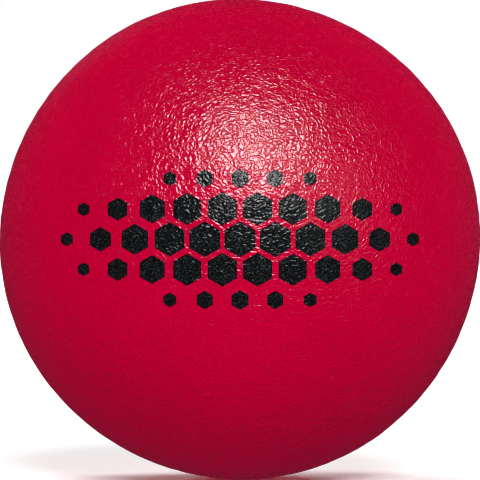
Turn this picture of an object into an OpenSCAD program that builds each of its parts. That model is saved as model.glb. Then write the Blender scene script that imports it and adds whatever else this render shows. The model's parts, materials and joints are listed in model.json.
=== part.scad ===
// Dodgeball of coated foam: a solid foam ball, a base coat that seals it, a coloured
// elastomer skin, and a printed ornament of hexagons on the front.
// Millimetres. The origin is the centre of the ball, +Z is up and the front faces -Y.

/* [Ball] */
// Outside diameter over the coloured skin
ball_d = 160; // [140:1:240]
// Thickness of the coloured skin
skin_t = 0.4; // [0.2:0.1:2]
// Thickness of the base coat that seals the foam
base_coat_t = 0.2; // [0.1:0.1:1]

/* [Print] */
// Thickness of the ink on the skin
ink_t = 0.1; // [0.05:0.05:0.5]
// Width of the ornament, between the middles of its outermost hexagons
print_w = 110; // [90:1:120]
// Height of the ornament, from the middle of the top row to that of the bottom row
print_h = 38; // [30:1:50]
// Bare line between neighbouring hexagons in the middle of the ornament
bare_line = 1.3; // [0.6:0.1:3]
// Size across the flats that the hexagons fade to at the ornament's edge
edge_cell = 2.5; // [1.5:0.1:4]

/* [Hidden] */
$fn = 180;

foam_colour = "#efe2b8";
base_coat_colour = "#d9c8bd";
skin_colour = "#bc0030";
ink_colour = "#16191c";

// Each layer lies face to face on the one below it
ball_r = ball_d / 2;
base_coat_r = ball_r - skin_t;
foam_r = base_coat_r - base_coat_t;
ink_r = ball_r + ink_t;

// The ornament: rows of upright hexagons from top to bottom, each set over by half a pitch
// from the next, large in the middle and smaller towards an ellipse round them all
row_cells = [5, 10, 11, 10, 5];
rows = len(row_cells);
cell_pitch = print_w / (max(row_cells) - 1);
row_rise = print_h / (rows - 1);
middle_cell = min(cell_pitch, norm([cell_pitch / 2, row_rise])) - bare_line;
ellipse_over_print_shares = [1.07, 1.18];
fade_power = 3;
corner_per_flat = 2 / sqrt(3);

// Middle of a row's hexagon, counted from the left
function cell_place(row, i) =
    [(i - (row_cells[row] - 1) / 2) * cell_pitch, ((rows - 1) / 2 - row) * row_rise];

// How far out a place lies, from 0 in the middle of the ornament to 1 at the ellipse
function reach(place) = norm([
    2 * place[0] / (print_w * ellipse_over_print_shares[0]),
    2 * place[1] / (print_h * ellipse_over_print_shares[1])
]);

// Size across the flats of the hexagon there
function cell_size(place) = edge_cell + (middle_cell - edge_cell) * (1 - pow(reach(place), fade_power));

module shell(outer_r, inner_r) {
    difference() {
        sphere(r = outer_r);
        sphere(r = inner_r);
    }
}

module upright_hexagon(across_flats) {
    rotate(90) circle(d = across_flats * corner_per_flat, $fn = 6);
}

// One row of ink hexagons, pressed straight on to the front of the ball
module print_row(row) {
    color(ink_colour) intersection() {
        shell(ink_r, ball_r);
        rotate([90, 0, 0]) linear_extrude(height = ball_d)
            for (i = [0 : row_cells[row] - 1])
                translate(cell_place(row, i)) upright_hexagon(cell_size(cell_place(row, i)));
    }
}

module foam_core() {
    color(foam_colour) sphere(r = foam_r);
}

module base_coat() {
    color(base_coat_colour) shell(base_coat_r, foam_r);
}

module skin() {
    color(skin_colour) shell(ball_r, base_coat_r);
}

foam_core();
base_coat();
skin();
print_row(0);  // print_top_row
print_row(1);  // print_upper_row
print_row(2);  // print_centre_row
print_row(3);  // print_lower_row
print_row(4);  // print_bottom_row
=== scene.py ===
"""Looks of a coated foam dodgeball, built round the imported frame.

Metres, in the row frame: the origin is the centre of the ball, +Z is up, the front faces -Y.
"""

import json
import math

import bpy
import numpy as np
from mathutils import Euler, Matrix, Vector, noise

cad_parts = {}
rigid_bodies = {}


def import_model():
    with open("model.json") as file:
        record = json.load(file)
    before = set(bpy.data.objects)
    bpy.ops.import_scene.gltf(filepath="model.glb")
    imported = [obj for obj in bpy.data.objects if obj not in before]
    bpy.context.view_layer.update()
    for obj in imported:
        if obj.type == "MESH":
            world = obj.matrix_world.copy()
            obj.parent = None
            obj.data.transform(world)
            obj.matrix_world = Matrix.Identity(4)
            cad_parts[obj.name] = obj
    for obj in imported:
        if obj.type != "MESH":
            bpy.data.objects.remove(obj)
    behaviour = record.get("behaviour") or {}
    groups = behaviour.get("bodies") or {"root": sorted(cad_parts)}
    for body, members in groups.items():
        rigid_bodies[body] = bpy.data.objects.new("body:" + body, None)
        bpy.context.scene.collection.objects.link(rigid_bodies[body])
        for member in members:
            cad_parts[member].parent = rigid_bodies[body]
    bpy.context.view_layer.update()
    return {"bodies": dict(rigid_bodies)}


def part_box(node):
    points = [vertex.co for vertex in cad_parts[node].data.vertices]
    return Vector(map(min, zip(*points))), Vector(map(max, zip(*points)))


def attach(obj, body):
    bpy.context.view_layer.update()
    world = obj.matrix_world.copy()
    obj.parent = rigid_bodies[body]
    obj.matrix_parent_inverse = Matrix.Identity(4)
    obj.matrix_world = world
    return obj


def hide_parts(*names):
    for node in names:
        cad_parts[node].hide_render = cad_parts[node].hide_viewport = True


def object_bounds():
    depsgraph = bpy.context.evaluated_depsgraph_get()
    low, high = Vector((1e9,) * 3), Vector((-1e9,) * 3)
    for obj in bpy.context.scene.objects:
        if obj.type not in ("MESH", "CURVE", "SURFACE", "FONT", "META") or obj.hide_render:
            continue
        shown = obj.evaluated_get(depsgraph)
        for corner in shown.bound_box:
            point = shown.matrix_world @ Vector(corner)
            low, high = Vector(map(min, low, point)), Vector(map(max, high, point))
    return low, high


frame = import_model()

MM = 0.001
BODY = next(iter(frame["bodies"]))

# Sizes of the CAD layers, read from the frame
BALL_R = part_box("skin")[1].z
BASE_COAT_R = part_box("base_coat")[1].z
FOAM_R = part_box("foam_core")[1].z

# Sizes of the printed ornament, as in the CAD, and the hexagons in each of its rows
INK_T = 0.1 * MM
PRINT_W = 110 * MM
PRINT_H = 38 * MM
BARE_LINE = 1.3 * MM
EDGE_CELL = 2.5 * MM
FADE_POWER = 3
ELLIPSE_OVER_PRINT_SHARES = (1.07, 1.18)
ROWS = {
    "print_top_row": 5,
    "print_upper_row": 10,
    "print_centre_row": 11,
    "print_lower_row": 10,
    "print_bottom_row": 5,
}
CELL_PITCH = PRINT_W / (max(ROWS.values()) - 1)
ROW_RISE = PRINT_H / (len(ROWS) - 1)
MIDDLE_CELL = min(CELL_PITCH, math.hypot(CELL_PITCH / 2, ROW_RISE)) - BARE_LINE

# Form of the skin: how far the ball is out of round, and the length and height of the mesh's low waves
LOBES = 4
LOBE_RISE = 0.2 * MM
LOBE_TURN = math.radians(18)
WAVES = ((11 * MM, 0.05 * MM), (4 * MM, 0.14 * MM))
# Turn of every noise, in radians, so that none lies square to the ball
NOISE_TURN = (0.9, 0.4, 0.2)

# Steps across each of the six sides that a layer's mesh is made of: the skin's outside, what the skin
# hides, and the insides of the shells. The ink has its own size of triangle.
SKIN_GRID = 124
HIDDEN_GRID = 48
INNER_GRID = 32
INK_STEP = 0.8 * MM


def directions(grid):
    """Unit vectors on the six sides of a cube, spread evenly by angle, and the quads that join them."""
    turns = np.tan(np.linspace(-math.pi / 4, math.pi / 4, grid + 1))
    b, a = np.meshgrid(turns, turns, indexing="ij")
    a, b, one = a.ravel(), b.ravel(), np.ones(a.size)
    sides = [(one, a, b), (-one, -a, b), (-a, one, b), (a, -one, b), (-b, a, one), (b, a, -one)]
    points = np.concatenate([np.stack(side, axis=1) for side in sides])
    points /= np.linalg.norm(points, axis=1, keepdims=True)
    corner = np.arange(grid * (grid + 1)).reshape(grid, grid + 1)[:, :grid].ravel()
    quad = np.stack([corner, corner + 1, corner + grid + 2, corner + grid + 1], axis=1)
    quads = np.concatenate([quad + side * (grid + 1) ** 2 for side in range(6)])
    _, first, place = np.unique(np.round(points, 7), axis=0, return_index=True, return_inverse=True)
    return points[first], place.ravel()[quads]


def rise(points):
    """How far the real skin stands off a true sphere in each direction."""
    x, y, z = points.T
    lobes = LOBE_RISE * (x**2 + z**2) ** 2 * np.cos(LOBES * (np.arctan2(z, x) - LOBE_TURN))
    waves = np.zeros(len(points))
    turned = points @ np.array(Euler(NOISE_TURN).to_matrix()).T
    for length, height in WAVES:
        waves += height * np.array([noise.noise(Vector(p) * (BALL_R / length)) for p in turned])
    return lobes + waves


def mesh_object(name, points, faces, look):
    mesh = bpy.data.meshes.new(name)
    mesh.from_pydata(points.tolist(), [], faces.tolist() if hasattr(faces, "tolist") else faces)
    mesh.polygons.foreach_set("use_smooth", [True] * len(mesh.polygons))
    mesh.update()
    piece = bpy.data.objects.new(name, mesh)
    bpy.context.scene.collection.objects.link(piece)
    mesh.materials.append(look)
    return piece


def finish_piece(piece, node):
    """The piece rides on the ball's body and takes the place of the CAD node."""
    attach(piece, BODY)
    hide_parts(node)


class Nodes:
    """The node tree of a material or of the world, with short calls to add and join nodes."""

    def __init__(self, tree):
        self.tree = tree

    def add(self, kind, inputs=None, **settings):
        made = self.tree.nodes.new(kind)
        for name, value in settings.items():
            setattr(made, name, value)
        for name, value in (inputs or {}).items():
            socket = made.inputs[name]
            if isinstance(value, bpy.types.NodeSocket):
                self.tree.links.new(value, socket)
            else:
                socket.default_value = value
        return made

    def math(self, operation, a, b=0.0, c=0.0):
        return self.add("ShaderNodeMath", {0: a, 1: b, 2: c}, operation=operation).outputs[0]

    def vector(self, operation, a, b, c=(0, 0, 0)):
        return self.add("ShaderNodeVectorMath", {0: a, 1: b, 2: c}, operation=operation).outputs[0]

    def mapped(self, value, low, high, to_low=0.0, to_high=1.0, smooth=False):
        made = self.add(
            "ShaderNodeMapRange",
            {"Value": value, "From Min": low, "From Max": high, "To Min": to_low, "To Max": to_high},
            interpolation_type="SMOOTHSTEP" if smooth else "LINEAR",
        )
        return made.outputs["Result"]

    def noise(self, vector, size_mm, detail=1.0, roughness=0.5):
        made = self.add(
            "ShaderNodeTexNoise",
            {"Vector": vector, "Scale": 1 / size_mm, "Detail": detail, "Roughness": roughness},
        )
        return made.outputs["Fac"]

    def blend(self, factor, tones):
        """The first tone at factor 0, and the second at 1."""
        made = self.add("ShaderNodeMix", {"Factor": factor, 6: tones[0], 7: tones[1]}, data_type="RGBA")
        return made.outputs[2]


def material(name):
    made = bpy.data.materials.new(name)
    made.use_nodes = True
    made.node_tree.nodes.clear()
    return made, Nodes(made.node_tree)


def millimetres(nodes):
    """The place on the ball, in millimetres, turned so that no noise lies square to the ball."""
    place = nodes.add("ShaderNodeTexCoord").outputs["Object"]
    scaled = nodes.add("ShaderNodeVectorMath", {0: place, "Scale": 1 / MM}, operation="SCALE")
    turned = nodes.add(
        "ShaderNodeVectorRotate",
        {"Vector": scaled.outputs["Vector"], "Rotation": NOISE_TURN},
        rotation_type="EULER_XYZ",
    )
    return turned.outputs["Vector"]


# Grain of the skin: bent ridges parted by creases, with finer wrinkles on them and low swells below.
# Sizes and heights are in millimetres, and a bend is the size of its noise and how far it shifts the rest.
RIDGE = 1.65
RIDGE_H = 0.13
WRINKLE = 0.65
WRINKLE_H = 0.1
SWELL = 2.4
SWELL_H = 0.16
BENDS = ((2.35, 1.3), (14, 2))
# A crease runs where the ridges' noise is near its middle: how near for the crease, and for its floor
CREASE_REACH = 0.2
CREASE_FLOOR_REACH = 0.05
# The colour of a crease's floor as a share of the skin's, a painted shade, and its roughness
CREASE_PAINTED_SHADE = 0.82
CREASE_ROUGH = 1.0


def grain(nodes, place):
    """Height of the grain in millimetres, and how open the skin is: 0 in a crease's floor, 1 outside."""
    bent = place
    for size, reach in BENDS:
        noise_colour = nodes.add(
            "ShaderNodeTexNoise", {"Vector": place, "Scale": 1 / size, "Detail": 1.0}
        ).outputs["Color"]
        shift = nodes.vector("SUBTRACT", noise_colour, (0.5,) * 3)
        bent = nodes.vector("MULTIPLY_ADD", shift, (reach,) * 3, bent)
    off_crease = nodes.math("ABSOLUTE", nodes.math("SUBTRACT", nodes.noise(bent, RIDGE), 0.5))
    ridge = nodes.mapped(off_crease, 0.0, CREASE_REACH, smooth=True)
    wrinkle = nodes.math("MULTIPLY", nodes.noise(bent, WRINKLE), WRINKLE_H)
    swell = nodes.math("MULTIPLY", nodes.noise(bent, SWELL), SWELL_H)
    height = nodes.math("MULTIPLY_ADD", ridge, RIDGE_H, nodes.math("ADD", wrinkle, swell))
    return height, nodes.mapped(off_crease, 0.0, CREASE_FLOOR_REACH, smooth=True)


def grained_normal(nodes, height):
    bump = nodes.add("ShaderNodeBump", {"Strength": 1.0, "Distance": MM, "Height": height})
    return bump.outputs["Normal"]


def surface(nodes, inputs):
    shader = nodes.add("ShaderNodeBsdfPrincipled", inputs)
    nodes.add("ShaderNodeOutputMaterial", {"Surface": shader.outputs[0]})


# Skin: the size of its clouds in millimetres, and the two tones between which they vary
CLOUD = 22
SKIN_TONES = ((0.5, 0.0, 0.031, 1), (0.52, 0.0, 0.033, 1))
# Ink: the same for its pale bluish specks, which are painted sheen
SPECK = 0.5
INK_TONES = ((0.0035, 0.0042, 0.004, 1), (0.024, 0.027, 0.034, 1))
# Size of the patches of polish on both, in millimetres, and the roughness between which each varies
POLISH = 1.1
SKIN_ROUGH = (0.06, 0.12)
INK_ROUGH = (0.09, 0.19)
# Foam, and the foam that the base coat seals: the pores' size and depth are in millimetres, and the darker
# tone of each lies in the pores' hollows as painted shade
PORE = 0.9
FOAM = {
    "name": "cut_foam",
    "tones": ((0.45, 0.36, 0.19, 1), (0.86, 0.76, 0.48, 1)),
    "pore_depth": 0.3,
    "rough": 0.95,
}
BASE_COAT = {
    "name": "sealed_foam",
    "tones": ((0.55, 0.45, 0.38, 1), (0.69, 0.58, 0.51, 1)),
    "pore_depth": 0.08,
    "rough": 0.6,
}


def polish(nodes, place, rough):
    return nodes.mapped(nodes.noise(place, POLISH), 0.3, 0.7, *rough)


def skin_material():
    made, nodes = material("crimson_skin")
    place = millimetres(nodes)
    height, open_skin = grain(nodes, place)
    colour = nodes.blend(nodes.mapped(nodes.noise(place, CLOUD, 2.0), 0.35, 0.65), SKIN_TONES)
    # Painted shade: the skin's colour darkens towards a crease's floor
    painted_crease_shade = nodes.mapped(open_skin, 0.0, 1.0, CREASE_PAINTED_SHADE, 1.0)
    colour = nodes.add("ShaderNodeVectorMath", {0: colour, "Scale": painted_crease_shade}, operation="SCALE").outputs[0]
    crease_rough = nodes.mapped(open_skin, 0.0, 1.0, CREASE_ROUGH, 0.0)
    rough = nodes.math("MAXIMUM", polish(nodes, place, SKIN_ROUGH), crease_rough)
    surface(
        nodes,
        {
            "Base Color": colour,
            "Roughness": rough,
            "Specular IOR Level": 1.0,
            "Normal": grained_normal(nodes, height),
            "Subsurface Weight": 0.3,
            "Subsurface Scale": MM,
            "Subsurface Radius": (1.0, 0.3, 0.3),
        },
    )
    return made


def ink_material():
    made, nodes = material("black_ink")
    place = millimetres(nodes)
    height = grain(nodes, place)[0]
    # Painted sheen: pale bluish specks in the ink's colour
    painted_sheen_speck = nodes.mapped(nodes.noise(place, SPECK), 0.5, 0.72, smooth=True)
    surface(
        nodes,
        {
            "Base Color": nodes.blend(painted_sheen_speck, INK_TONES),
            "Roughness": polish(nodes, place, INK_ROUGH),
            "Specular IOR Level": 0.42,
            "Normal": grained_normal(nodes, height),
        },
    )
    return made


def foam_material(name, tones, pore_depth, rough):
    made, nodes = material(name)
    cells = nodes.add("ShaderNodeTexVoronoi", {"Vector": millimetres(nodes), "Scale": 1 / PORE})
    wall = cells.outputs["Distance"]
    # Painted shade: the colour darkens into the hollows of the pores
    colour = nodes.blend(nodes.mapped(wall, 0.1, 0.7), tones)
    height = nodes.math("MULTIPLY", wall, pore_depth)
    surface(nodes, {"Base Color": colour, "Roughness": rough, "Normal": grained_normal(nodes, height)})
    return made


def layer(outer_r, inner_r, outer_grid, inner_grid):
    """Points and faces of a closed shell between two radii, or of a full ball when inner_r is None."""
    points, quads = directions(outer_grid)
    stands = rise(points)
    outer = points * (outer_r + stands)[:, None]
    if inner_r is None:
        return outer, quads
    points, inner_quads = directions(inner_grid)
    inner = points * (inner_r + rise(points))[:, None]
    turned = inner_quads[:, ::-1] + len(outer)
    return np.concatenate([outer, inner]), np.concatenate([quads, turned])


def make_ball():
    points, faces = layer(BALL_R, BASE_COAT_R, SKIN_GRID, INNER_GRID)
    skin = mesh_object("elastomer_skin", points, faces, skin_material())
    finish_piece(skin, "skin")
    points, faces = layer(BASE_COAT_R, FOAM_R, HIDDEN_GRID, INNER_GRID)
    coat = mesh_object("sealing_coat", points, faces, foam_material(**BASE_COAT))
    finish_piece(coat, "base_coat")
    points, faces = layer(FOAM_R, None, HIDDEN_GRID, None)
    foam = mesh_object("foam_ball", points, faces, foam_material(**FOAM))
    finish_piece(foam, "foam_core")


def hexagon_patch(x, z, across_flats):
    """Points in the print's plane that fill an upright hexagon, their triangles, and its outline."""
    corner_r = across_flats / math.sqrt(3)
    steps = max(2, round(corner_r / INK_STEP))
    places, points = {}, []
    for a in range(-steps, steps + 1):
        for b in range(max(-steps, -a - steps), min(steps, -a + steps) + 1):
            places[a, b] = len(points)
            points.append((x + corner_r / steps * math.sqrt(3) / 2 * a, z + corner_r / steps * (b + a / 2)))
    triangles = []
    for a, b in places:
        right, up, across = (a + 1, b), (a, b + 1), (a + 1, b - 1)
        if right in places and up in places:
            triangles.append((places[a, b], places[right], places[up]))
        if right in places and across in places:
            triangles.append((places[a, b], places[across], places[right]))
    ring = [(steps, -steps), (steps, 0), (0, steps), (-steps, steps), (-steps, 0), (0, -steps)]
    outline = []
    for start, end in zip(ring, ring[1:] + ring[:1]):
        for k in range(steps):
            a = start[0] + (end[0] - start[0]) * k // steps
            b = start[1] + (end[1] - start[1]) * k // steps
            outline.append(places[a, b])
    return np.array(points), triangles, outline


def pressed_on(flat, lift):
    """Points of the print's plane, pressed straight on to the front of the skin and lifted off it."""
    x, z = flat.T / BALL_R
    points = np.stack([x, -np.sqrt(1 - x**2 - z**2), z], axis=1)
    return points * (BALL_R + rise(points) + lift)[:, None]


def cell_size(x, z):
    """Size across the flats of the hexagon there. It fades towards an ellipse round the ornament."""
    wide, high = ELLIPSE_OVER_PRINT_SHARES
    reach = math.hypot(2 * x / (PRINT_W * wide), 2 * z / (PRINT_H * high))
    return EDGE_CELL + (MIDDLE_CELL - EDGE_CELL) * (1 - reach**FADE_POWER)


def ink_mark(x, z):
    """Points and faces of one closed hexagon of ink. Its sides have their own points, for a crisp edge."""
    flat, triangles, outline = hexagon_patch(x, z, cell_size(x, z))
    top, under = pressed_on(flat, INK_T), pressed_on(flat, -INK_T)
    faces = triangles + [tuple(len(flat) + v for v in reversed(t)) for t in triangles]
    side, rim = 2 * len(flat), len(outline)
    for here in range(rim):
        there = (here + 1) % rim
        faces.append((side + there, side + here, side + rim + here, side + rim + there))
    return np.concatenate([top, under, top[outline], under[outline]]), faces


def make_print():
    ink = ink_material()
    for row, (node, cells) in enumerate(ROWS.items()):
        z = ((len(ROWS) - 1) / 2 - row) * ROW_RISE
        points, faces = np.empty((0, 3)), []
        for i in range(cells):
            mark_points, mark_faces = ink_mark((i - (cells - 1) / 2) * CELL_PITCH, z)
            faces += [tuple(len(points) + v for v in face) for face in mark_faces]
            points = np.concatenate([points, mark_points])
        piece = mesh_object(node.replace("print_", "ink_"), points, faces, ink)
        finish_piece(piece, node)


# The photograph's camera: level, in front of the ball, with the ball's outline at these pixels
FRAME_PX = 480
OUTLINE_R_PX = 239.9
CENTRE_UP_PX = 0.7
CAMERA_DISTANCE = 1.2
SENSOR = 36.0


def make_camera():
    data = bpy.data.cameras.new("camera")
    half_width = math.tan(math.asin(BALL_R / CAMERA_DISTANCE)) * FRAME_PX / 2 / OUTLINE_R_PX
    data.sensor_width = SENSOR
    data.lens = SENSOR / 2 / half_width
    data.clip_start, data.clip_end = 0.01, 100
    camera = bpy.data.objects.new("camera", data)
    drop = CENTRE_UP_PX * BALL_R / OUTLINE_R_PX
    camera.location = (0, -CAMERA_DISTANCE, -drop)
    camera.rotation_euler = (math.pi / 2, 0, 0)
    bpy.context.scene.collection.objects.link(camera)
    bpy.context.scene.camera = camera


# Wide enough that the floor's edge lies near the horizon
FLOOR_R = 8
FLOOR_COLOUR = (0.9, 0.9, 0.9, 1)


def make_stage():
    """A pale floor under the ball's lowest point. It takes the ball's shadow and throws no light on it."""
    made, nodes = material("pale_floor")
    surface(nodes, {"Base Color": FLOOR_COLOUR, "Roughness": 0.9})
    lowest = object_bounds()[0].z
    bpy.ops.mesh.primitive_circle_add(vertices=64, radius=FLOOR_R, fill_type="NGON", location=(0, 0, lowest))
    floor = bpy.context.object
    floor.name = "floor"
    floor.data.materials.append(made)
    floor.visible_diffuse = False
    floor.visible_glossy = False
    floor.visible_shadow = False


# Soft light that shades the ball: direction towards it, width in degrees, and share of full light
SHADING = {
    "key": ((0.12, -0.82, 0.56), 24, 1.02),
    "left": ((-0.94, 0.32, 0.11), 51, 0.385),
    "right": ((0.88, 0.46, 0.08), 32, 0.63),
    "back_high": ((-0.3, 0.61, 0.73), 32, 0.565),
    "back_left": ((-0.73, 0.61, 0.29), 27, 0.375),
    "back_right": ((0.43, 0.74, 0.52), 24, 0.49),
    "low_front": ((-0.08, -0.62, -0.78), 30, 0.61),
}

# What the gloss reflects: direction towards each light or wall, the widths in degrees within which it is
# full and beyond which it is gone, its radiance, and its colour
REFLECTIONS = {
    "softbox": ((0.095, -0.748, 0.657), 24, 47, 10.3, (1, 1, 1)),
    "side_panel": ((0.635, -0.682, 0.362), 30, 50, 0.55, (1, 1, 1)),
    "rim_left": ((-0.19, 0.955, 0.26), 12, 12.1, 0.05, (1, 1, 1)),
    "back_wall": ((0, 0.85, -0.5), 120, 120.1, 0.016, (1, 1, 2.2)),
}


def sun(name, towards, width_deg, share):
    """A far soft light on the shading alone. Share 1 fully lights a face turned towards it."""
    data = bpy.data.lights.new(name, "SUN")
    data.angle = math.radians(width_deg)
    data.energy = share * math.pi / math.cos(data.angle / 2) ** 2
    data.cycles.use_multiple_importance_sampling = False
    light = bpy.data.objects.new(name, data)
    light.rotation_mode = "QUATERNION"
    light.rotation_quaternion = Vector(towards).to_track_quat("Z", "Y")
    light.visible_camera = False
    light.visible_glossy = False
    bpy.context.scene.collection.objects.link(light)


def reflected_studio(nodes):
    """Colour and strength of the studio in each direction, as the gloss sees it."""
    direction = nodes.add("ShaderNodeTexCoord").outputs["Generated"]
    studio = (0, 0, 0)
    for towards, full_deg, gone_deg, radiance, colour in REFLECTIONS.values():
        nearness = nodes.add(
            "ShaderNodeVectorMath", {0: direction, 1: Vector(towards).normalized()}, operation="DOT_PRODUCT"
        ).outputs["Value"]
        gone, full = (math.cos(math.radians(width) / 2) for width in (gone_deg, full_deg))
        level = nodes.mapped(nearness, gone, full, 0, radiance, smooth=True)
        studio = nodes.vector("MULTIPLY_ADD", colour, level, studio)
    return studio


def make_lights():
    """Suns shade the ball. The gloss sees the studio of the world, and the camera a white background."""
    for name, light in SHADING.items():
        sun(name, *light)
    world = bpy.data.worlds.new("studio")
    world.use_nodes = True
    bpy.context.scene.world = world
    nodes = Nodes(world.node_tree)
    world.node_tree.nodes.clear()
    seen = nodes.add("ShaderNodeBackground", {"Color": (1, 1, 1, 1), "Strength": 1.0})
    reflected = nodes.add("ShaderNodeBackground", {"Color": reflected_studio(nodes), "Strength": 1.0})
    by_camera = nodes.add("ShaderNodeLightPath").outputs["Is Camera Ray"]
    mixed = nodes.add("ShaderNodeMixShader", {0: by_camera, 1: reflected.outputs[0], 2: seen.outputs[0]})
    nodes.add("ShaderNodeOutputWorld", {"Surface": mixed.outputs[0]})
    world.cycles_visibility.diffuse = False
    world.cycles.sampling_method = "NONE"


make_camera()
make_ball()
make_print()
make_stage()
make_lights()
bpy.context.scene.view_settings.view_transform = "Standard"
bpy.context.scene.cycles.filter_width = 1.0
